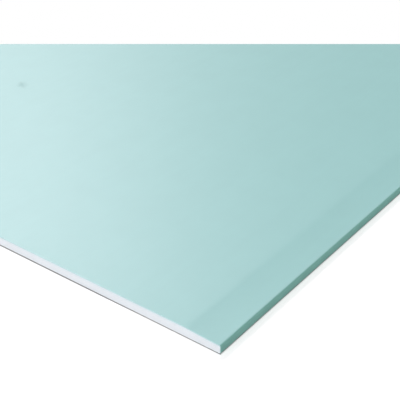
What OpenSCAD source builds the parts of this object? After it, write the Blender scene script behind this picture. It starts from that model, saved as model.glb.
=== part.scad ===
// Tapered-edge gypsum board for damp rooms, lying face up.
// The board is three bonded pieces. A cast gypsum core fills the section. The face paper covers
// the face, turns down over both long edges and is folded in under the back. The back paper lies
// on the folds and closes the back. Both ends are cut square, so all three show there.
// X runs along the bound edges, Y across the sheet, and Z from the back to the face.

/* [Sheet] */
// Length of the sheet along its bound edges
sheet_length = 2400; // [1200:50:3600]
// Width of the sheet across its bound edges
sheet_width = 1200; // [600:50:1250]
// Thickness of the flat field, with both papers
sheet_thickness = 12.5; // [9.5:0.5:18]

/* [Tapered edges] */
// Distance from the long edge to the knee where the taper starts
taper_width = 43; // [40:1:80]
// Drop of the face from the knee to the long edge
taper_depth = 1.8; // [1.3:0.1:2.5]
// Sink of the taper's middle below a straight line from the knee to the edge
taper_hollow = 0.3; // [0.05:0.05:0.4]
// Radius of the soft knee
knee_radius = 110; // [50:10:300]
// Outer radius of the arris between the taper and the long edge
face_arris = 1.6; // [1:0.1:2.5]
// Outer radius of the arris between the long edge and the back
back_arris = 1.2; // [1:0.1:2.5]

/* [Papers] */
// Thickness of the face paper
face_paper_thickness = 0.4; // [0.3:0.05:0.6]
// Thickness of the back paper
back_paper_thickness = 0.5; // [0.3:0.05:0.6]
// Width of the face paper that is folded in under the back
fold_width = 32; // [25:1:45]
// Width of the fold that the back paper leaves bare
bare_fold_width = 5; // [3:1:20]

/* [Hidden] */

// Straight pieces that one rounded corner is drawn with
corner_steps = 8;

half_width = sheet_width / 2;
edge_height = sheet_thickness - taper_depth;
fold_end = half_width - fold_width;

// Where the two straight flanks of the taper would meet, under the middle of its hollow.
hollow_height = sheet_thickness - taper_depth / 2 - 2 * taper_hollow;
upper_slope = atan2(sheet_thickness - hollow_height, taper_width / 2);
lower_slope = atan2(hollow_height - edge_height, taper_width / 2);
// The hollow's arc starts where the knee's arc ends.
hollow_run = taper_width / 2 - knee_radius * tan(upper_slope / 2);
hollow_radius = hollow_run / tan((upper_slope - lower_slope) / 2);

// Corners of the face paper's outside, from the middle of the face to the end of one fold.
// Each is [across, up, outer radius], and a hollow corner's radius is negative.
half_wrap = [
    [half_width - taper_width, sheet_thickness, knee_radius],
    [half_width - taper_width / 2, hollow_height, -hollow_radius],
    [half_width, edge_height, face_arris],
    [half_width, back_paper_thickness, back_arris],
    [fold_end, back_paper_thickness, 0],
];

// The same corners for the whole sheet, from one fold's end over the face to the other's.
wrap = concat(
    [for (i = [len(half_wrap) - 1:-1:0]) [-half_wrap[i][0], half_wrap[i][1], half_wrap[i][2]]],
    half_wrap
);

function at(corner) = [corner[0], corner[1]];
function unit(v) = v / norm(v);
// Turns a direction to its right, which is towards the core all the way round the wrap.
function inward(v) = [v[1], -v[0]];
function heading(path, i) = unit(at(path[i + 1]) - at(path[i]));

// A corner of the path moved inwards by depth, square to both of its sides.
function inset_corner(path, i, depth) =
    let (
        last = len(path) - 1,
        before = heading(path, max(i - 1, 0)),
        after = heading(path, min(i, last - 1)),
        across = inward(before) + inward(after)
    )
    at(path[i]) + across * depth * 2 / (across * across);

// The rounded corner as points on its arc. The inset tightens a corner and widens a hollow one.
function round_corner(path, i, depth) =
    let (tip = inset_corner(path, i, depth))
    path[i][2] == 0 ? [tip] :
    let (
        radius = path[i][2] - depth,
        before = heading(path, i - 1),
        after = heading(path, i),
        turn = sign(radius) * acos(before * after),
        start = tip - before * radius * tan(turn / 2),
        centre = start + inward(before) * radius
    )
    [for (step = [0:corner_steps])
        let (angle = turn * step / corner_steps)
        centre + radius * (before * sin(angle) - inward(before) * cos(angle))];

// The face paper's outside, or with a depth the line that lies that far inside it.
function wrap_line(depth) = [for (i = [0:len(wrap) - 1]) each round_corner(wrap, i, depth)];

function reversed(list) = [for (i = [len(list) - 1:-1:0]) list[i]];

// Draws a section across the sheet along the sheet's whole length.
module along_sheet() {
    rotate([90, 0, 90])
        linear_extrude(height = sheet_length, center = true)
            children();
}

// The face paper as one strip of even thickness round the face, the edges and the folds.
module face_paper() {
    color("#b4dbd8")
        along_sheet()
            polygon(concat(wrap_line(0), reversed(wrap_line(face_paper_thickness))));
}

// The core fills the wrap and reaches down between the folds to the back paper.
module gypsum_core() {
    color("#eeeef2")
        along_sheet()
            polygon(concat(
                wrap_line(face_paper_thickness),
                [[fold_end, back_paper_thickness], [-fold_end, back_paper_thickness]]
            ));
}

// The back paper lies on the core and laps both folds, short of the long edges.
module back_paper() {
    back_width = sheet_width - 2 * bare_fold_width;
    color("#a39c90")
        along_sheet()
            translate([-back_width / 2, 0])
                square([back_width, back_paper_thickness]);
}

gypsum_core();
face_paper();
back_paper();
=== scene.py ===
"""Looks of a tapered-edge gypsum board sheet for damp rooms, built round its packed construction.

The sheet lies face up on a white floor. The face paper, the gypsum core and the back paper are modelled
again at the construction's sizes with finer edges and a sawn end, and each gets a procedural finish.
"""

from __future__ import annotations

import logging
import math
from collections.abc import Callable
from dataclasses import dataclass, field
from enum import Enum
from functools import cache, cached_property

import bpy
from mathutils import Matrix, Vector

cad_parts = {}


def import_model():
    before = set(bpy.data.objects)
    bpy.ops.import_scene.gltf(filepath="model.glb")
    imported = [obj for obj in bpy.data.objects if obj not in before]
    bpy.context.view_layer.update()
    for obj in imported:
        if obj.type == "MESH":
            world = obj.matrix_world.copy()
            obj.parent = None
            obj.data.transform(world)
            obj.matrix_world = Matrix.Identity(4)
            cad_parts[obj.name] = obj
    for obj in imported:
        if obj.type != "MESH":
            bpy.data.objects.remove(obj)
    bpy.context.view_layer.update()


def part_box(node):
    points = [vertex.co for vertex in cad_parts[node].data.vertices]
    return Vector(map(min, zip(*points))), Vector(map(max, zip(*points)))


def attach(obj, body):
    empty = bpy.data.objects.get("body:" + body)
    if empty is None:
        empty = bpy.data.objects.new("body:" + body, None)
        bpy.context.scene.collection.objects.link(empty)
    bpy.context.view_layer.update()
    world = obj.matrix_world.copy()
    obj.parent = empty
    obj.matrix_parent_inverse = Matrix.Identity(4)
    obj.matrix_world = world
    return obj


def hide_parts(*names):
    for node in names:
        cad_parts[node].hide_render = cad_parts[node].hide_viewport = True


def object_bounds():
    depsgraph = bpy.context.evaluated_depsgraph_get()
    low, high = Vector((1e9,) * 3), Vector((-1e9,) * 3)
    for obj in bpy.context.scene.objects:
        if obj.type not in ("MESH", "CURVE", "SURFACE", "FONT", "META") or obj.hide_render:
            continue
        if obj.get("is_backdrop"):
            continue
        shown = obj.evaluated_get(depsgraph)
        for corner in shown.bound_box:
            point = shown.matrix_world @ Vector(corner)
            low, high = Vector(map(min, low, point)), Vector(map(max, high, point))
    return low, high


LOG = logging.getLogger("drywall_sheet")
MM = 0.001
# Places nearer to each other than this count as the same place.
CLOSE = 0.1 * MM
RIGHT_ANGLE = math.radians(90)
# Nearly all values of a noise texture lie in this span.
NOISE_SPAN = (0.3, 0.7)

Socket = bpy.types.NodeSocket
Colour = tuple[float, float, float]
WHITE: Colour = (1.0, 1.0, 1.0)


class Slot(Enum):
    """The record's material slots."""

    FACE_PAPER = "face_paper"
    GYPSUM_CORE = "gypsum_core"
    BACK_PAPER = "back_paper"


class Side(Enum):
    """The two bound long edges, by the sign of their Y."""

    RIGHT = -1
    LEFT = 1


@dataclass(frozen=True)
class SheetSizes:
    """The sheet's sizes in metres, as its construction has them.

    Args:
        length: Length along the bound edges.
        width: Width across the bound edges.
        thickness: Thickness of the flat field.
        back_paper: Thickness of the back paper.
        back_width: Width of the back paper.
        face_paper: Thickness of the face paper.
        taper_width: Distance from the long edge to the knee.
        taper_depth: Drop of the face from the knee to the long edge.
        taper_hollow: Sink of the taper's middle below a straight line.
        fold_width: Width of the face paper folded in under the back.
        knee_radius: Radius of the soft knee.
        face_arris: Outer radius of the arris at the face.
        back_arris: Outer radius of the arris at the back.
    """

    length: float
    width: float
    thickness: float
    back_paper: float
    back_width: float
    face_paper: float = 0.4 * MM
    taper_width: float = 43 * MM
    taper_depth: float = 1.8 * MM
    taper_hollow: float = 0.3 * MM
    fold_width: float = 32 * MM
    knee_radius: float = 110 * MM
    face_arris: float = 1.6 * MM
    back_arris: float = 1.2 * MM

    @classmethod
    def from_frame(cls) -> SheetSizes:
        """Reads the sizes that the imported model's boxes give.

        Returns:
            The sheet's sizes.
        """
        low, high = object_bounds()
        back_low, back_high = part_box(Slot.BACK_PAPER.value)
        return cls(
            length=high.x - low.x,
            width=high.y - low.y,
            thickness=high.z - low.z,
            back_paper=back_high.z - back_low.z,
            back_width=back_high.y - back_low.y,
        )

    @property
    def edge_height(self) -> float:
        """Height of the face at the long edge."""
        return self.thickness - self.taper_depth

    @property
    def hollow_height(self) -> float:
        """Height at which the taper's two flanks would meet under its hollow."""
        return self.thickness - self.taper_depth / 2 - 2 * self.taper_hollow

    @property
    def upper_slope(self) -> float:
        """Slope of the taper at the knee, in radians."""
        return math.atan2(self.thickness - self.hollow_height, self.taper_width / 2)

    @property
    def lower_slope(self) -> float:
        """Slope of the taper at the long edge, in radians."""
        return math.atan2(self.hollow_height - self.edge_height, self.taper_width / 2)

    @property
    def hollow_radius(self) -> float:
        """Radius of the hollow, whose arc starts where the knee's arc ends."""
        run = self.taper_width / 2 - self.knee_radius * math.tan(self.upper_slope / 2)
        return run / math.tan((self.upper_slope - self.lower_slope) / 2)


class Workpiece:
    """One mesh object and the hand tools that shape it."""

    def __init__(self, name: str, obj: bpy.types.Object) -> None:
        """Names the object and opens it in edit mode.

        Args:
            name: Name of the piece.
            obj: The object that the piece is made from.
        """
        self.obj = obj
        self.obj.name = self.obj.data.name = name
        bpy.ops.object.mode_set(mode="EDIT")

    @classmethod
    def plane(cls, name: str) -> Workpiece:
        """Starts from a unit plane that lies at the origin, facing up.

        Args:
            name: Name of the piece.

        Returns:
            The new piece.
        """
        bpy.ops.object.select_all(action="DESELECT")
        bpy.ops.mesh.primitive_plane_add(size=1.0)
        return cls(name, bpy.context.active_object)

    @classmethod
    def upright_grid(cls, name: str, columns: int, rows: int) -> Workpiece:
        """Starts from a unit grid that stands across the sheet, facing along X.

        Args:
            name: Name of the piece.
            columns: Squares across the sheet.
            rows: Squares up the sheet's thickness.

        Returns:
            The new piece.
        """
        bpy.ops.object.select_all(action="DESELECT")
        bpy.ops.mesh.primitive_grid_add(
            size=1.0, x_subdivisions=rows, y_subdivisions=columns, rotation=(0, RIGHT_ANGLE, 0)
        )
        bpy.ops.object.transform_apply(location=True, rotation=True, scale=True)
        return cls(name, bpy.context.active_object)

    def all(self) -> Workpiece:
        """Selects the whole piece."""
        bpy.ops.mesh.select_all(action="SELECT")
        return self

    def edges(self, test: Callable[[Vector], bool], along: bool = False) -> Workpiece:
        """Selects the edges whose two ends pass a test.

        Args:
            test: Takes the place of an end and says whether it passes.
            along: Whether only edges that run along the sheet are wanted.

        Returns:
            The same piece.
        """
        bpy.ops.mesh.select_mode(type="EDGE")
        bpy.ops.mesh.select_all(action="DESELECT")
        bpy.ops.object.mode_set(mode="OBJECT")
        mesh = self.obj.data
        for edge in mesh.edges:
            start, end = (mesh.vertices[i].co for i in edge.vertices)
            wanted = start.x * end.x < 0 or not along
            edge.select = wanted and test(start) and test(end)
        bpy.ops.object.mode_set(mode="EDIT")
        return self

    def resize(self, x: float = 1.0, y: float = 1.0, z: float = 1.0) -> Workpiece:
        """Scales the selection about the origin."""
        bpy.ops.transform.resize(value=(x, y, z), center_override=(0, 0, 0))
        return self

    def move(self, x: float = 0.0, y: float = 0.0, z: float = 0.0) -> Workpiece:
        """Moves the selection."""
        bpy.ops.transform.translate(value=(x, y, z))
        return self

    def extrude(self, x: float = 0.0, y: float = 0.0, z: float = 0.0) -> Workpiece:
        """Extrudes the selection and leaves the new end selected."""
        bpy.ops.mesh.extrude_region_move(TRANSFORM_OT_translate={"value": (x, y, z)})
        return self

    def round_edges(self, radius: float, turn: float, segments: int) -> Workpiece:
        """Rounds the selected edges to a radius.

        Args:
            radius: Radius of the rounding.
            turn: Angle in radians between the two faces' normals.
            segments: Faces along the rounding.

        Returns:
            The same piece.
        """
        bpy.ops.mesh.bevel(
            offset_type="OFFSET",
            offset=radius * math.tan(turn / 2),
            segments=segments,
            profile=0.5,
            affect="EDGES",
            clamp_overlap=False,
        )
        return self

    def close_up(self) -> bpy.types.Object:
        """Leaves edit mode and returns the object."""
        bpy.ops.object.mode_set(mode="OBJECT")
        return self.obj


def pick(obj: bpy.types.Object) -> None:
    """Makes an object the active one and the only one selected.

    Args:
        obj: The object.
    """
    bpy.ops.object.select_all(action="DESELECT")
    bpy.context.view_layer.objects.active = obj
    obj.select_set(True)


def apply_modifier(obj: bpy.types.Object, kind: str, settings: dict[str, object]) -> None:
    """Adds a modifier with its settings and applies it.

    Args:
        obj: The object to shape.
        kind: The modifier's type, such as SOLIDIFY.
        settings: Values to set on the modifier.
    """
    pick(obj)
    modifier = obj.modifiers.new(kind.lower(), kind)
    for key, value in settings.items():
        setattr(modifier, key, value)
    bpy.ops.object.modifier_apply(modifier=modifier.name)


def rgba(colour: Colour) -> tuple[float, float, float, float]:
    """Gives a colour its alpha."""
    return (*colour, 1.0)


class Wiring:
    """Adds nodes to one node tree and joins them."""

    # Places of the two colours among a Mix node's inputs, and of the mixed one among its outputs.
    MIX_FIRST = 6
    MIX_SECOND = 7
    MIX_RESULT = 2

    def __init__(self, tree: bpy.types.NodeTree) -> None:
        """Keeps the tree that the nodes go into."""
        self.tree = tree

    def add(self, kind: str, settings: dict[str, object] | None = None, **inputs: object) -> bpy.types.Node:
        """Adds a node, sets its options and fills its inputs.

        Args:
            kind: The node's type name.
            settings: Options of the node, by attribute name.
            **inputs: Values or output sockets for the inputs, by name with underscores for spaces.

        Returns:
            The new node.
        """
        node = self.tree.nodes.new(kind)
        for key, value in (settings or {}).items():
            setattr(node, key, value)
        self.fill(node, **inputs)
        return node

    def fill(self, node: bpy.types.Node, **inputs: object) -> None:
        """Links or sets a node's inputs, by name with underscores for spaces."""
        for key, value in inputs.items():
            self.feed(node.inputs[key.replace("_", " ")], value)

    def feed(self, socket: Socket, value: object) -> None:
        """Links an output socket to an input, or sets the input to a plain value.

        Args:
            socket: The input.
            value: An output socket or a plain value.
        """
        if isinstance(value, bpy.types.NodeSocket):
            self.tree.links.new(value, socket)
        else:
            socket.default_value = value

    def math(self, operation: str, first: object, second: object = 0.0, third: object = 0.0) -> Socket:
        """Adds a Math node.

        Args:
            operation: The node's operation.
            first: First value or socket.
            second: Second value or socket.
            third: Third value or socket, for operations that take three.

        Returns:
            The node's output.
        """
        node = self.add("ShaderNodeMath", {"operation": operation})
        for socket, value in zip(node.inputs, (first, second, third)):
            self.feed(socket, value)
        return node.outputs[0]

    def total(self, *parts: tuple[Socket, float]) -> object:
        """Adds values up, each times its share.

        Args:
            *parts: The values, each with its share.

        Returns:
            The sum.
        """
        result: object = 0.0
        for value, share in parts:
            result = self.math("MULTIPLY_ADD", value, share, result)
        return result

    def remap(
        self, value: Socket, low: float, high: float, start: object, end: object, way: str = "SMOOTHSTEP"
    ) -> Socket:
        """Maps a value's range onto another, held at both ends.

        Args:
            value: The value to map.
            low: Lower end of its range.
            high: Upper end of its range.
            start: Result at the lower end.
            end: Result at the upper end.
            way: The node's interpolation, which is soft at both ends unless it is LINEAR.

        Returns:
            The mapped value.
        """
        ends = {"From_Min": low, "From_Max": high, "To_Min": start, "To_Max": end}
        node = self.add("ShaderNodeMapRange", {"interpolation_type": way}, Value=value, **ends)
        return node.outputs["Result"]

    def blend(self, factor: object, first: object, second: object, way: str = "MIX") -> Socket:
        """Mixes two colours.

        Args:
            factor: Share of the second colour, from 0 to 1.
            first: First colour.
            second: Second colour.
            way: The mix's blend type.

        Returns:
            The mixed colour.
        """
        node = self.add("ShaderNodeMix", {"data_type": "RGBA", "blend_type": way}, Factor=factor)
        self.feed(node.inputs[self.MIX_FIRST], first)
        self.feed(node.inputs[self.MIX_SECOND], second)
        return node.outputs[self.MIX_RESULT]

    def noise(self, vector: Socket, scale: object, detail: float, roughness: float = 0.5) -> Socket:
        """Adds a noise texture and returns its value."""
        node = self.add("ShaderNodeTexNoise", Vector=vector, Scale=scale, Detail=detail, Roughness=roughness)
        return node.outputs["Fac"]

    @cached_property
    def place(self) -> Socket:
        """The object coordinates."""
        return self.add("ShaderNodeTexCoord").outputs["Object"]

    def drawn_out(self, place: Socket, share: float) -> Socket:
        """Slows a pattern down along X, so that it is drawn out that way."""
        return self.add("ShaderNodeMapping", Vector=place, Scale=(share, 1.0, 1.0)).outputs["Vector"]

    def axis(self, vector: Socket, name: str) -> Socket:
        """Returns a vector's part along the axis X, Y or Z."""
        return self.add("ShaderNodeSeparateXYZ", Vector=vector).outputs[name]

    def held(self, value: Socket) -> Socket:
        """Holds a value between 0 and 1."""
        return self.add("ShaderNodeClamp", Value=value).outputs["Result"]

    def bumps(self, height: Socket, depth: float) -> Socket:
        """Makes bumps of a depth in metres."""
        return self.add("ShaderNodeBump", Strength=1.0, Distance=depth, Height=height).outputs["Normal"]

    def grouped(self, tree: bpy.types.NodeTree, **values: float) -> bpy.types.NodeOutputs:
        """Adds a node group on the object coordinates and returns its outputs."""
        return self.add("ShaderNodeGroup", {"node_tree": tree}, Vector=self.place, **values).outputs


def background_rays(wiring: Wiring, mirrored: object = 1.0) -> Socket:
    """Wires a mask of the rays that see the background.

    Args:
        wiring: The wiring of the floor's material or of the world.
        mirrored: How much of the background glossy surfaces and glass show, from 0 to 1.

    Returns:
        A value that is 1 for the camera and is that share off a glossy surface or through glass.
    """
    path = wiring.add("ShaderNodeLightPath").outputs
    turned = wiring.math("MAXIMUM", path["Is Glossy Ray"], path["Is Transmission Ray"])
    return wiring.math("MAXIMUM", path["Is Camera Ray"], wiring.math("MULTIPLY", turned, mirrored))


def new_material(name: str, **values: object) -> tuple[bpy.types.Material, Wiring, bpy.types.Node]:
    """Starts a material.

    Args:
        name: Name of the material.
        **values: Plain values for its shader, by name with underscores for spaces.

    Returns:
        The material, its wiring and its shader.
    """
    material = bpy.data.materials.new(name)
    material.use_nodes = True
    wiring = Wiring(material.node_tree)
    shader = material.node_tree.nodes["Principled BSDF"]
    wiring.fill(shader, **values)
    return material, wiring, shader


def new_group(
    name: str, values: dict[str, float], results: tuple[str, ...]
) -> tuple[Wiring, bpy.types.NodeOutputs, bpy.types.Node]:
    """Starts a shader node group whose first input is a Vector.

    Args:
        name: Name of the group.
        values: Its other inputs, each with its default value.
        results: Names of its outputs.

    Returns:
        The group's wiring, what its nodes are given and the node that puts their results out.
    """
    tree = bpy.data.node_groups.new(name, "ShaderNodeTree")
    tree.interface.new_socket("Vector", in_out="INPUT", socket_type="NodeSocketVector")
    for key, value in values.items():
        socket = tree.interface.new_socket(key, in_out="INPUT", socket_type="NodeSocketFloat")
        socket.default_value = value
    for key in results:
        tree.interface.new_socket(key, in_out="OUTPUT", socket_type="NodeSocketFloat")
    wiring = Wiring(tree)
    return wiring, wiring.add("NodeGroupInput").outputs, wiring.add("NodeGroupOutput")


class PaperFibre:
    """The node group that both papers use for their formation, machine streaks and fibre."""

    # Scales along the sheet, against across it.
    STREAK_DRAW = 0.06
    FIBRE_DRAW = 0.3
    # Streaks for each cloud, and flecks for each fibre.
    STREAK_SCALE = 5.0
    FLECK_SCALE = 3.0
    # Noise above which a fleck shows at a share of 0, and how much lower that is at a share of 1.
    FLECK_BAR = 0.9
    FLECK_FALL = 0.54
    # Steepness of a fleck's edge, and softness of its foot.
    FLECK_EDGE = 14.0
    FLECK_EASE = 0.1
    # Shares in the relief.
    FIBRE_RELIEF = 0.8
    STREAK_RELIEF = 0.2

    @classmethod
    @cache
    def group(cls) -> bpy.types.NodeTree:
        """Builds the group once.

        Returns:
            A group with the inputs Vector, Cloud Scale, Fibre Scale and Fleck Share and the outputs
            Cloud, Streak, Fibre, Fleck and Height, all from 0 to 1.
        """
        values = {"Cloud Scale": 20.0, "Fibre Scale": 600.0, "Fleck Share": 0.1}
        results = ("Cloud", "Streak", "Fibre", "Fleck", "Height")
        wiring, given, out = new_group("paper_fibre", values, results)
        cloud = wiring.noise(given["Vector"], given["Cloud Scale"], detail=3.0, roughness=0.6)
        machine_way = wiring.drawn_out(given["Vector"], cls.STREAK_DRAW)
        streak_scale = wiring.math("MULTIPLY", given["Cloud Scale"], cls.STREAK_SCALE)
        streak = wiring.noise(machine_way, streak_scale, detail=2.0)
        laid = wiring.drawn_out(given["Vector"], cls.FIBRE_DRAW)
        fibre = wiring.noise(laid, given["Fibre Scale"], detail=4.0, roughness=0.65)
        fleck_scale = wiring.math("MULTIPLY", given["Fibre Scale"], cls.FLECK_SCALE)
        spots = wiring.noise(laid, fleck_scale, detail=1.0)
        fall = wiring.math("MULTIPLY", given["Fleck Share"], cls.FLECK_FALL)
        over = wiring.math("SUBTRACT", spots, wiring.math("SUBTRACT", cls.FLECK_BAR, fall))
        above = wiring.math("MULTIPLY", over, cls.FLECK_EDGE)
        wiring.fill(
            out,
            Cloud=cloud,
            Streak=streak,
            Fibre=fibre,
            Fleck=wiring.math("SMOOTH_MAX", above, 0.0, cls.FLECK_EASE),
            Height=wiring.total((fibre, cls.FIBRE_RELIEF), (streak, cls.STREAK_RELIEF)),
        )
        return wiring.tree


@cache
def under_face(sizes: SheetSizes) -> bpy.types.NodeTree:
    """Builds, once, the node group that measures how deep a point lies under the face.

    Args:
        sizes: The sheet's sizes.

    Returns:
        A group with the input Vector and the output Depth, in metres under the field or the taper.
    """
    wiring, given, out = new_group("under_face", {}, ("Depth",))
    outer = sizes.width / 2
    across = wiring.math("ABSOLUTE", wiring.axis(given["Vector"], "Y"))
    drop = wiring.remap(across, outer - sizes.taper_width, outer, 0.0, sizes.taper_depth, "LINEAR")
    face = wiring.math("SUBTRACT", sizes.thickness, drop)
    wiring.fill(out, Depth=wiring.math("SUBTRACT", face, wiring.axis(given["Vector"], "Z")))
    return wiring.tree


@cache
def cut_end(sizes: SheetSizes) -> bpy.types.NodeTree:
    """Builds, once, the node group that finds the two cut ends of the sheet.

    Args:
        sizes: The sheet's sizes.

    Returns:
        A group with the inputs Vector and Reach and the output Mask, which is 1 on the cut ends and
        falls to 0 at Reach from them.
    """
    wiring, given, out = new_group("cut_end", {"Reach": CLOSE}, ("Mask",))
    along = wiring.math("ABSOLUTE", wiring.axis(given["Vector"], "X"))
    inside = wiring.math("SUBTRACT", sizes.length / 2, along)
    share = wiring.held(wiring.math("DIVIDE", inside, given["Reach"]))
    wiring.fill(out, Mask=wiring.math("SUBTRACT", 1.0, share))
    return wiring.tree


@dataclass(frozen=True)
class Smudge:
    """A small grey smudge on the face.

    Args:
        x: Place of its middle along the sheet, in metres.
        y: Place of its middle across the sheet, in metres.
        length: Length of the smudge in metres.
        width: Width of the smudge in metres.
        heading: Degrees from +X towards +Y that its length runs.
        ragged: Waves of its uneven outline for each half of its length.
        fade: Where it starts to thin and has gone, in halves of its length with that outline added.
    """

    x: float
    y: float
    length: float
    width: float
    heading: float
    ragged: float = 1.3
    fade: tuple[float, float] = (0.4, 1.6)

    def mask(self, wiring: Wiring) -> Socket:
        """Wires the smudge's soft and uneven shape.

        Args:
            wiring: The material's wiring.

        Returns:
            A value that is 1 in the smudge's middle and 0 outside it.
        """
        spread = wiring.add(
            "ShaderNodeMapping",
            {"vector_type": "TEXTURE"},
            Vector=wiring.place,
            Location=(self.x, self.y, 0.0),
            Rotation=(0.0, 0.0, math.radians(self.heading)),
            Scale=(self.length / 2, self.width / 2, 1.0),
        ).outputs["Vector"]
        far = wiring.add("ShaderNodeVectorMath", {"operation": "LENGTH"}, Vector=spread).outputs["Value"]
        uneven = wiring.math("ADD", wiring.noise(spread, self.ragged, detail=2.0), far)
        return wiring.remap(uneven, *self.fade, 1.0, 0.0)


@dataclass(frozen=True)
class PaperFinish:
    """A paper with its fibre, tint and cut edge.

    Args:
        name: Name of the material.
        pale: Colour of the paper where its pulp is thin.
        deep: Colour of the paper where its pulp is dense.
        fleck: Colour of the loose flecks in the pulp.
        cut: Colour of the plies where the paper is cut.
        cloud_scale: Clouds of pulp for each metre.
        fibre_scale: Fibres for each metre.
        fleck_share: Share of flecks, from 0 to 1.
        roughness: Roughness of the surface.
        gloss: Specular level, from 0 to 1.
        relief: Height of the fibre in metres.
        gloss_tint: Tint of the specular light.
        edge_painted_shade: Painted shade: a darker, greener tint multiplied into the paper's colour on the
            bound long edges.
        edge_scuff: Roughness that the bound long edges have on top of the face's.
        fold_cut: Colour of the cut plies at the folds, if it isn't that of the face's.
        fold_height: Height up to which the cut plies are a fold's, in metres.
        smudge: A smudge in the colour of the flecks, if the paper has one.
    """

    # Shares of the fibre group's values in the paper's tone.
    TONE = {"Cloud": 0.5, "Streak": 0.25, "Fibre": 0.25}
    # How far the roughness goes up and down with the fibre.
    UNEVEN = 0.04
    # Share of the arris that keeps the long edge's full painted shade.
    FLANK = 0.2

    name: str
    pale: Colour
    deep: Colour
    fleck: Colour
    cut: Colour
    cloud_scale: float
    fibre_scale: float
    fleck_share: float
    roughness: float
    gloss: float
    relief: float
    gloss_tint: Colour = WHITE
    edge_painted_shade: Colour = WHITE
    edge_scuff: float = 0.0
    fold_cut: Colour | None = None
    fold_height: float = 1.0 * MM
    smudge: Smudge | None = None

    def material(self, sizes: SheetSizes) -> bpy.types.Material:
        """Builds the paper's material.

        Args:
            sizes: The sheet's sizes, for the place of its edges and cut ends.

        Returns:
            The material.
        """
        material, wiring, shader = new_material(
            self.name, Specular_IOR_Level=self.gloss, Specular_Tint=rgba(self.gloss_tint)
        )
        fibre = wiring.grouped(
            PaperFibre.group(),
            Cloud_Scale=self.cloud_scale,
            Fibre_Scale=self.fibre_scale,
            Fleck_Share=self.fleck_share,
        )
        side = self._long_edge(wiring, sizes)
        # Painted shade: the bound long edges are multiplied by a darker tint.
        skin = wiring.blend(side, self._face(wiring, fibre), rgba(self.edge_painted_shade), "MULTIPLY")
        ends = wiring.grouped(cut_end(sizes), Reach=CLOSE)["Mask"]
        spread = self.roughness - self.UNEVEN, self.roughness + self.UNEVEN
        rough = wiring.remap(fibre["Fibre"], *NOISE_SPAN, *spread)
        wiring.fill(
            shader,
            Base_Color=wiring.blend(ends, skin, self._plies(wiring)),
            Roughness=wiring.math("MULTIPLY_ADD", side, self.edge_scuff, rough),
            Normal=wiring.bumps(fibre["Height"], self.relief),
        )
        return material

    def _face(self, wiring: Wiring, fibre: bpy.types.NodeOutputs) -> Socket:
        """Wires the colour of the paper's surface.

        Args:
            wiring: The material's wiring.
            fibre: What the fibre group puts out.

        Returns:
            The colour, with the flecks and the smudge.
        """
        tone = wiring.total(*((fibre[name], share) for name, share in self.TONE.items()))
        thin = wiring.remap(tone, *NOISE_SPAN, 0.0, 1.0)
        spots = wiring.held(fibre["Fleck"])
        if self.smudge:
            spots = wiring.math("MAXIMUM", spots, self.smudge.mask(wiring))
        return wiring.blend(spots, wiring.blend(thin, rgba(self.deep), rgba(self.pale)), rgba(self.fleck))

    def _plies(self, wiring: Wiring) -> object:
        """Wires the colour of the cut plies.

        Args:
            wiring: The material's wiring.

        Returns:
            The colour, which changes near the back if the folds have their own.
        """
        if not self.fold_cut:
            return rgba(self.cut)
        height = wiring.axis(wiring.place, "Z")
        low = wiring.remap(height, self.fold_height, 2 * self.fold_height, 1.0, 0.0)
        return wiring.blend(low, rgba(self.cut), rgba(self.fold_cut))

    def _long_edge(self, wiring: Wiring, sizes: SheetSizes) -> Socket:
        """Wires a mask of the two bound long edges, for their painted shade and their added roughness.

        Args:
            wiring: The material's wiring.
            sizes: The sheet's sizes.

        Returns:
            A value that rises from 0 on the face to 1 on the long edges.
        """
        across = wiring.math("ABSOLUTE", wiring.axis(wiring.place, "Y"))
        outer = sizes.width / 2
        return wiring.remap(across, outer - sizes.face_arris, outer - sizes.face_arris * self.FLANK, 0.0, 1.0)


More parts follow.
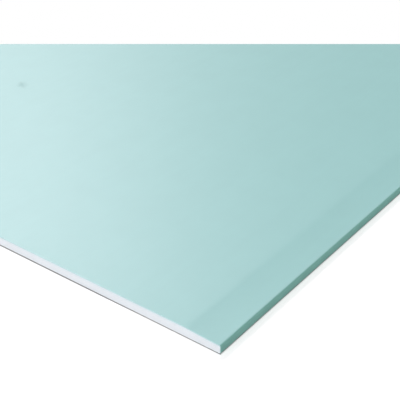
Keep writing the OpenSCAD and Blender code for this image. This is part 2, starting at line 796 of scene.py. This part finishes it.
@dataclass(frozen=True)
class GypsumFinish:
    """Cast gypsum, sawn across, with its foam bubbles and crumbs.

    Args:
        name: Name of the material.
        pale: Colour of the crystals.
        deep: Darker colour, painted as shade in the bubbles and as the tone of the faint patches.
        rim: Colour of the paper fibre that the saw draws down over the cut.
        rim_depth: Depth under the face at which that fibre ends, in metres.
        roughness: Roughness of the surface.
        bubble_scale: Bubbles for each metre.
        crumb_scale: Crumbs for each metre.
        relief: Depth of the bubbles in metres.
        drift_scale: Faint darker patches for each metre.
        tuft_scale: Tufts of the drawn fibre for each metre.
    """

    # The noise that makes the bubbles uneven: its scale against theirs, and how much of it is added.
    CLUSTER_SCALE = 0.4
    CLUSTER_SHARE = 0.6
    # Values of a cell between which its bubble ends.
    BUBBLE_LIP = (0.36, 0.54)
    # Shares of the deep colour: painted shade in the bubbles, and the patches' own tone.
    BUBBLE_SHADE = 0.7
    DRIFT_TONE = 0.25
    # Height of the crumbs, against the depth of the bubbles.
    CRUMB_RELIEF = 0.6
    # How far the roughness falls with the crumbs.
    UNEVEN = 0.05
    # How far the tufts shift the rim, and where it starts to thin and has gone, against its depth.
    TUFT_REACH = 0.6
    RIM_FADE = (-0.1, 1.3)

    name: str
    pale: Colour
    deep: Colour
    rim: Colour
    rim_depth: float
    roughness: float
    bubble_scale: float
    crumb_scale: float
    relief: float
    drift_scale: float = 40.0
    tuft_scale: float = 500.0

    def material(self, sizes: SheetSizes) -> bpy.types.Material:
        """Builds the gypsum's material.

        Args:
            sizes: The sheet's sizes, for the depth under its face.

        Returns:
            The material.
        """
        material, wiring, shader = new_material(self.name)
        place = wiring.place
        cells = wiring.add("ShaderNodeTexVoronoi", Vector=place, Scale=self.bubble_scale).outputs["Distance"]
        cluster = wiring.noise(place, self.bubble_scale * self.CLUSTER_SCALE, detail=1.0)
        uneven = wiring.math("MULTIPLY_ADD", cluster, self.CLUSTER_SHARE, cells)
        bubble = wiring.remap(uneven, *self.BUBBLE_LIP, 1.0, 0.0)
        crumb = wiring.noise(place, self.crumb_scale, detail=5.0, roughness=0.7)
        drift = wiring.noise(place, self.drift_scale, detail=2.0)
        # Painted shade darkens the bubbles; the drift adds faint darker patches of tone.
        pit_shade_and_drift = wiring.total((bubble, self.BUBBLE_SHADE), (drift, self.DRIFT_TONE))
        body = wiring.blend(pit_shade_and_drift, rgba(self.pale), rgba(self.deep))
        height = wiring.math("SUBTRACT", wiring.math("MULTIPLY", crumb, self.CRUMB_RELIEF), bubble)
        wiring.fill(
            shader,
            Base_Color=wiring.blend(self._rim(wiring, sizes), body, rgba(self.rim)),
            Roughness=wiring.remap(crumb, *NOISE_SPAN, self.roughness - self.UNEVEN, self.roughness),
            Normal=wiring.bumps(height, self.relief),
        )
        return material

    def _rim(self, wiring: Wiring, sizes: SheetSizes) -> Socket:
        """Wires the mask of the paper fibre that is drawn down over the cut.

        Args:
            wiring: The material's wiring.
            sizes: The sheet's sizes.

        Returns:
            A value that falls from 1 at the face paper to 0 at the rim's depth.
        """
        tuft = wiring.noise(wiring.place, self.tuft_scale, detail=3.0)
        under = wiring.grouped(under_face(sizes))["Depth"]
        drawn = wiring.math("MULTIPLY_ADD", tuft, self.rim_depth * self.TUFT_REACH, under)
        start, end = (self.rim_depth * share for share in self.RIM_FADE)
        return wiring.remap(drawn, start, end, 1.0, 0.0)


@dataclass
class Wrap:
    """The face paper's outside as one open surface: the face, both tapers, long edges and folds.

    Args:
        sizes: The sheet's sizes.
        knee_segments: Faces along the soft knee.
        hollow_segments: Faces along the taper's hollow.
        arris_segments: Faces along each arris.
    """

    sizes: SheetSizes
    knee_segments: int = 12
    hollow_segments: int = 12
    arris_segments: int = 10

    def surface(self, name: str) -> Workpiece:
        """Models the surface from a plane.

        Args:
            name: Name of the piece.

        Returns:
            The piece, open in edit mode.
        """
        sizes = self.sizes
        outer = sizes.width / 2
        knee = outer - sizes.taper_width
        half_taper = sizes.taper_width / 2
        piece = Workpiece.plane(name).all().resize(sizes.length, knee * 2).move(z=sizes.thickness)
        for side in Side:
            at_knee = side.value * knee
            piece.edges(lambda p: abs(p.y - at_knee) < CLOSE)
            piece.extrude(y=side.value * half_taper, z=sizes.hollow_height - sizes.thickness)
            piece.extrude(y=side.value * half_taper, z=sizes.edge_height - sizes.hollow_height)
            piece.extrude(z=sizes.back_paper - sizes.edge_height)
            piece.extrude(y=-side.value * sizes.fold_width)
        ease = sizes.upper_slope - sizes.lower_slope
        brow = RIGHT_ANGLE - sizes.lower_slope
        for y, z, radius, turn, segments in (
            (knee, sizes.thickness, sizes.knee_radius, sizes.upper_slope, self.knee_segments),
            (outer - half_taper, sizes.hollow_height, sizes.hollow_radius, ease, self.hollow_segments),
            (outer, sizes.edge_height, sizes.face_arris, brow, self.arris_segments),
            (outer, sizes.back_paper, sizes.back_arris, RIGHT_ANGLE, self.arris_segments),
        ):
            piece.edges(lambda p: abs(abs(p.y) - y) < CLOSE and abs(p.z - z) < CLOSE, along=True)
            piece.round_edges(radius, turn, segments)
        return piece


def settle(
    piece: bpy.types.Object, slot: Slot, material: bpy.types.Material, turn: float
) -> bpy.types.Object:
    """Dresses a modelled piece and puts it in the place of its construction node.

    Args:
        piece: The modelled piece.
        slot: The node's name, which is its material slot too.
        material: The finish of the piece.
        turn: Angle in degrees up to which the piece is shaded smooth.

    Returns:
        The same piece.
    """
    pick(piece)
    bpy.ops.object.shade_smooth_by_angle(angle=math.radians(turn))
    piece.data.materials.clear()
    piece.data.materials.append(material)
    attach(piece, "root")
    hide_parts(slot.value)
    return piece


@dataclass
class FacePaper:
    """The pale green paper round the face, the long edges and the folds.

    Args:
        sizes: The sheet's sizes.
        finish: The paper's finish.
    """

    sizes: SheetSizes
    finish: PaperFinish = field(
        default_factory=lambda: PaperFinish(
            name="face_paper",
            pale=(0.346, 0.623, 0.614),
            deep=(0.336, 0.604, 0.596),
            fleck=(0.225, 0.472, 0.463),
            cut=(0.46, 0.70, 0.72),
            cloud_scale=22.0,
            fibre_scale=700.0,
            fleck_share=0.0,
            roughness=0.48,
            gloss=0.52,
            relief=0.004 * MM,
            gloss_tint=(1.0, 0.84, 0.95),
            # Painted shade on the bound long edges.
            edge_painted_shade=(0.74, 0.89, 0.80),
            edge_scuff=0.35,
            fold_cut=(0.62, 0.63, 0.63),
            smudge=Smudge(x=-0.880, y=0.023, length=34 * MM, width=20 * MM, heading=49.0),
        )
    )

    def build(self) -> bpy.types.Object:
        """Models the paper, finishes it and puts it in its node's place.

        Returns:
            The finished piece.
        """
        paper = Wrap(self.sizes).surface(Slot.FACE_PAPER.value + "_liner").close_up()
        wall = {"thickness": self.sizes.face_paper, "offset": -1.0, "use_even_offset": True}
        apply_modifier(paper, "SOLIDIFY", wall)
        return settle(paper, Slot.FACE_PAPER, self.finish.material(self.sizes), turn=20.0)


@dataclass
class GypsumCore:
    """The cast white core, whose sawn ends show between the papers.

    Args:
        sizes: The sheet's sizes.
        column_step: Size across the sheet of the squares that carry the saw's grain.
        row_step: Their size up the thickness.
        saw_depth: Depth of the saw's grain.
        saw_grain: Size of the grain's waves.
        saw_detail: Finer waves in each wave.
        spare: How far the block stands past the sheet before it is cut to its form.
        overrun: Length of that form against the sheet's.
        finish: The gypsum's finish.
    """

    sizes: SheetSizes
    column_step: float = 2.0 * MM
    row_step: float = 1.3 * MM
    saw_depth: float = 0.35 * MM
    saw_grain: float = 4.0 * MM
    saw_detail: int = 3
    spare: float = 4.0 * MM
    overrun: float = 1.01
    finish: GypsumFinish = field(
        default_factory=lambda: GypsumFinish(
            name="gypsum_core",
            pale=(0.84, 0.88, 0.93),
            deep=(0.60, 0.61, 0.64),
            rim=(0.50, 0.71, 0.74),
            rim_depth=4.2 * MM,
            roughness=0.95,
            bubble_scale=900.0,
            crumb_scale=1400.0,
            relief=0.15 * MM,
        )
    )

    def build(self) -> bpy.types.Object:
        """Models the core, finishes it and puts it in its node's place.

        Returns:
            The finished piece.
        """
        core = self._block()
        form = self._form()
        apply_modifier(core, "BOOLEAN", {"operation": "INTERSECT", "object": form, "solver": "EXACT"})
        bpy.data.objects.remove(form)
        return settle(core, Slot.GYPSUM_CORE, self.finish.material(self.sizes), turn=30.0)

    def _block(self) -> bpy.types.Object:
        """Models a block as long as the sheet whose two ends have the saw's rough grain.

        Returns:
            The block.
        """
        sizes = self.sizes
        height = sizes.thickness + 2 * self.spare
        width = sizes.width + 2 * self.spare
        piece = Workpiece.upright_grid(
            Slot.GYPSUM_CORE.value + "_cast", round(width / self.column_step), round(height / self.row_step)
        )
        piece.all().resize(y=width, z=height).move(x=-sizes.length / 2, z=sizes.thickness / 2)
        piece.extrude(x=sizes.length)
        piece.all()
        bpy.ops.mesh.normals_make_consistent(inside=False)
        block = piece.close_up()
        grain = bpy.data.textures.new("saw_grain", "CLOUDS")
        grain.noise_scale = self.saw_grain
        grain.noise_depth = self.saw_detail
        rough = {"texture": grain, "texture_coords": "LOCAL", "strength": self.saw_depth, "mid_level": 1.0}
        apply_modifier(block, "DISPLACE", rough)
        # Bent squares would leave folded slivers where the form cuts them.
        apply_modifier(block, "TRIANGULATE", {"quad_method": "FIXED"})
        return block

    def _form(self) -> bpy.types.Object:
        """Models the closed form that the papers leave for the core, a little longer than the sheet.

        Returns:
            The form.
        """
        sizes = self.sizes
        piece = Wrap(sizes).surface("core_form").all()
        bpy.ops.transform.shrink_fatten(value=-sizes.face_paper, use_even_offset=True)
        fold_end = sizes.width / 2 - sizes.fold_width
        middle = sizes.thickness / 2
        piece.edges(lambda p: abs(abs(p.y) - fold_end) < CLOSE and p.z < middle)
        piece.extrude(z=-sizes.face_paper)
        bpy.ops.mesh.bridge_edge_loops()
        for end in (-1, 1):
            piece.edges(lambda p: p.x * end > 0)
            bpy.ops.mesh.edge_face_add()
        piece.all().resize(x=self.overrun)
        bpy.ops.mesh.normals_make_consistent(inside=False)
        return piece.close_up()


@dataclass
class BackPaper:
    """The grey paper on the back, which laps the folds.

    Args:
        sizes: The sheet's sizes.
        lap_rounding: Radius of its two long edges.
        lap_segments: Faces along that rounding.
        finish: The paper's finish.
    """

    sizes: SheetSizes
    lap_rounding: float = 0.12 * MM
    lap_segments: int = 3
    finish: PaperFinish = field(
        default_factory=lambda: PaperFinish(
            name="back_paper",
            pale=(0.40, 0.365, 0.31),
            deep=(0.31, 0.285, 0.24),
            fleck=(0.14, 0.13, 0.12),
            # The cut plies are darker than the paper, partly their own grey and partly painted shade along
            # the bottom of the cut ends.
            cut=(0.24, 0.235, 0.23),
            cloud_scale=30.0,
            fibre_scale=420.0,
            fleck_share=0.42,
            roughness=0.8,
            gloss=0.4,
            relief=0.05 * MM,
        )
    )

    def build(self) -> bpy.types.Object:
        """Models the paper, finishes it and puts it in its node's place.

        Returns:
            The finished piece.
        """
        sizes = self.sizes
        piece = Workpiece.plane(Slot.BACK_PAPER.value + "_liner").all()
        piece.resize(sizes.length, sizes.back_width).move(z=sizes.back_paper)
        paper = piece.close_up()
        apply_modifier(paper, "SOLIDIFY", {"thickness": sizes.back_paper, "offset": -1.0})
        bpy.ops.object.mode_set(mode="EDIT")
        piece.edges(lambda p: True, along=True)
        piece.round_edges(self.lap_rounding, RIGHT_ANGLE, self.lap_segments)
        piece.close_up()
        return settle(paper, Slot.BACK_PAPER, self.finish.material(sizes), turn=40.0)


@dataclass(frozen=True)
class SoftLamp:
    """One large soft lamp.

    Args:
        name: Name of the lamp.
        heading: Degrees from +X towards +Y, as seen from the sheet's near corner.
        height: Degrees above the floor.
        distance: Distance from the near corner in metres.
        size: Side of the lamp in metres.
        radiance: Brightness of the lamp's face.
        colour: Colour of its light.
    """

    name: str
    heading: float
    height: float
    distance: float
    size: float
    radiance: float
    colour: Colour = WHITE

    def build(self, aim: Vector) -> None:
        """Hangs the lamp so that it faces a point.

        Args:
            aim: The point that the lamp faces.
        """
        data = bpy.data.lights.new(self.name, "AREA")
        data.shape = "SQUARE"
        data.size = self.size
        data.energy = self.radiance * math.pi * self.size**2
        data.color = self.colour
        lamp = bpy.data.objects.new(self.name, data)
        turn, tilt = math.radians(self.heading), math.radians(self.height)
        way = Vector((math.cos(turn) * math.cos(tilt), math.sin(turn) * math.cos(tilt), math.sin(tilt)))
        lamp.location = aim + way * self.distance
        lamp.rotation_euler = way.to_track_quat("Z", "Y").to_euler()
        bpy.context.scene.collection.objects.link(lamp)


@dataclass
class Studio:
    """The white floor and the soft light.

    Args:
        floor_size: Side of the floor in metres.
        floor_gap: Height of the sheet over the floor.
        end_shade: Width of the painted shadow line on the floor along the cut ends.
        shade_end: Distance from the corners at which that line ends, in metres.
        shade_run: Distance in which it fades out, in metres.
        shade_tuck: Distance that the painted shadow reaches in under the cut ends.
        floor_colour: Colour of the floor.
        shade_colour: Colour of the painted shadow in that line and just under the cut ends.
        floor_lift: Light that the floor adds where the background is seen.
        ambient: Strength of the even light.
        backdrop_top: Height at which gloss shows the ceiling, as the sine of its angle.
        backdrop_fade: How far below and above that height the white backdrop fades out.
        aim: The point that the lamps face, near the corner in the picture.
        lamps: The lamps.
    """

    floor_size: float = 12.0
    floor_gap: float = 0.35 * MM
    end_shade: float = 0.45 * MM
    shade_end: float = 0.08
    shade_run: float = 0.10
    shade_tuck: float = 1.0 * MM
    floor_colour: Colour = (0.80, 0.80, 0.80)
    shade_colour: Colour = (0.10, 0.10, 0.10)
    floor_lift: float = 0.50
    ambient: float = 0.30
    backdrop_top: float = 0.17
    backdrop_fade: float = 0.11
    aim: Vector = field(default_factory=lambda: Vector((-0.95, -0.4, 0.0)))
    lamps: tuple[SoftLamp, ...] = (
        SoftLamp("window", heading=56.5, height=40.0, distance=20.0, size=7.3, radiance=16.2),
        SoftLamp("end_fill", heading=178.0, height=13.0, distance=6.0, size=3.6, radiance=4.65),
        SoftLamp("front_fill", heading=235.0, height=55.0, distance=8.0, size=6.0, radiance=1.1),
    )

    def build(self, sizes: SheetSizes) -> None:
        """Lays the floor, hangs the lamps and sets the world's light.

        Args:
            sizes: The sheet's sizes.
        """
        self._floor(sizes)
        for lamp in self.lamps:
            lamp.build(self.aim)
        self._world()

    def _floor(self, sizes: SheetSizes) -> None:
        """Lays the floor, which the camera sees as white apart from the sheet's shadow and the painted shadow
        along and under its cut ends.

        Args:
            sizes: The sheet's sizes, for the floor under it and beside its cut ends.
        """
        bpy.ops.object.select_all(action="DESELECT")
        bpy.ops.mesh.primitive_plane_add(size=self.floor_size, location=(0.0, 0.0, -self.floor_gap))
        floor = bpy.context.active_object
        floor.name = "floor"
        material, wiring, shader = new_material(
            "floor", Roughness=1.0, Specular_IOR_Level=0.0, Emission_Color=rgba(WHITE)
        )
        open_floor, unshaded_floor = self._floor_masks(wiring, sizes)
        lift = wiring.math("MULTIPLY", background_rays(wiring), self.floor_lift)
        wiring.fill(
            shader,
            # Painted shadow: the floor takes the dark shade colour along and just under the cut ends.
            Base_Color=wiring.blend(unshaded_floor, rgba(self.shade_colour), rgba(self.floor_colour)),
            Emission_Strength=wiring.math("MULTIPLY", lift, open_floor),
        )
        floor.data.materials.append(material)
        floor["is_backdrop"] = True

    def _floor_masks(self, wiring: Wiring, sizes: SheetSizes) -> tuple[Socket, Socket]:
        """Wires where the floor is open and where it is free of the painted shadow.

        Args:
            wiring: The floor's wiring.
            sizes: The sheet's sizes.

        Returns:
            A value that is 0 under the sheet and in the painted shadow line along its cut ends, and a value
            that is 0 in that line and just under those ends. Both are 1 elsewhere.
        """
        along, across = (wiring.math("ABSOLUTE", wiring.axis(wiring.place, name)) for name in "XY")
        end, corner = sizes.length / 2, sizes.width / 2
        faded = corner - self.shade_end
        # The painted shadow line widens away from the corners.
        line = wiring.remap(across, faded - self.shade_run, faded, self.end_shade, 0.0)
        past_end = wiring.math("GREATER_THAN", along, wiring.math("ADD", line, end))
        past_side = wiring.math("GREATER_THAN", across, corner)
        open_floor = wiring.math("MAXIMUM", past_end, past_side)
        inside = wiring.math("LESS_THAN", along, end - self.shade_tuck)
        return open_floor, wiring.math("MAXIMUM", inside, open_floor)

    def _world(self) -> None:
        """Sets an even light with a white backdrop, which gloss shows below the dimmer ceiling."""
        world = bpy.data.worlds.new("studio")
        bpy.context.scene.world = world
        world.use_nodes = True
        wiring = Wiring(world.node_tree)
        background = world.node_tree.nodes["Background"]
        rise = wiring.axis(wiring.add("ShaderNodeTexCoord").outputs["Generated"], "Z")
        low, high = self.backdrop_top - self.backdrop_fade, self.backdrop_top + self.backdrop_fade
        seen = background_rays(wiring, wiring.remap(rise, low, high, 1.0, 0.0))
        strength = wiring.math("MULTIPLY_ADD", seen, 1.0 - self.ambient, self.ambient)
        wiring.fill(background, Color=rgba(WHITE), Strength=strength)


@dataclass(frozen=True)
class Viewpoint:
    """The camera at the photograph's place.

    Args:
        back: Distance of the camera behind the near corner, along X.
        aside: Distance of the camera beside the near corner, along Y.
        height: Height of the camera over the floor.
        heading: Degrees from +X towards +Y that it looks.
        pitch: Degrees that it looks down.
        focal_pixels: Focal length in pixels of the frame.
        crop_rows: Rows from the frame's middle up to the line where the picture ends.
    """

    # Side of the frame in pixels, width of the sensor in millimetres and nearest seen point in metres.
    FRAME = 400.0
    SENSOR = 36.0
    CLIP_START = 0.05

    back: float = 0.528
    aside: float = 0.377
    height: float = 0.558
    heading: float = 37.27
    pitch: float = 30.63
    focal_pixels: float = 869.0
    crop_rows: float = 156.0

    def build(self, sizes: SheetSizes) -> None:
        """Sets up the camera.

        The picture ends along a level line above the middle. The far clip meets the face along that line,
        so what lies further off is white there too.

        Args:
            sizes: The sheet's sizes.
        """
        data = bpy.data.cameras.new("camera")
        data.sensor_width = self.SENSOR
        data.lens = self.focal_pixels / self.FRAME * self.SENSOR
        data.clip_start = self.CLIP_START
        down = math.radians(self.pitch)
        rise = self.crop_rows / self.focal_pixels
        data.clip_end = (self.height - sizes.thickness) / (math.sin(down) - rise * math.cos(down))
        camera = bpy.data.objects.new("camera", data)
        camera.location = (-sizes.length / 2 - self.back, -sizes.width / 2 - self.aside, self.height)
        camera.rotation_euler = (math.radians(90 - self.pitch), 0.0, math.radians(self.heading - 90))
        bpy.context.scene.collection.objects.link(camera)
        bpy.context.scene.camera = camera


def main() -> None:
    """Builds the sheet and its studio."""
    logging.basicConfig(level=logging.INFO, format="%(message)s")
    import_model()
    bpy.context.scene.view_settings.view_transform = "Standard"
    sizes = SheetSizes.from_frame()
    LOG.info("sheet %.3f x %.3f x %.4f m", sizes.length, sizes.width, sizes.thickness)
    Viewpoint().build(sizes)
    Studio().build(sizes)
    for maker in (FacePaper(sizes), GypsumCore(sizes), BackPaper(sizes)):
        piece = maker.build()
        LOG.info("%s: %d faces", piece.name, len(piece.data.polygons))


if __name__ == "__main__":
    main()
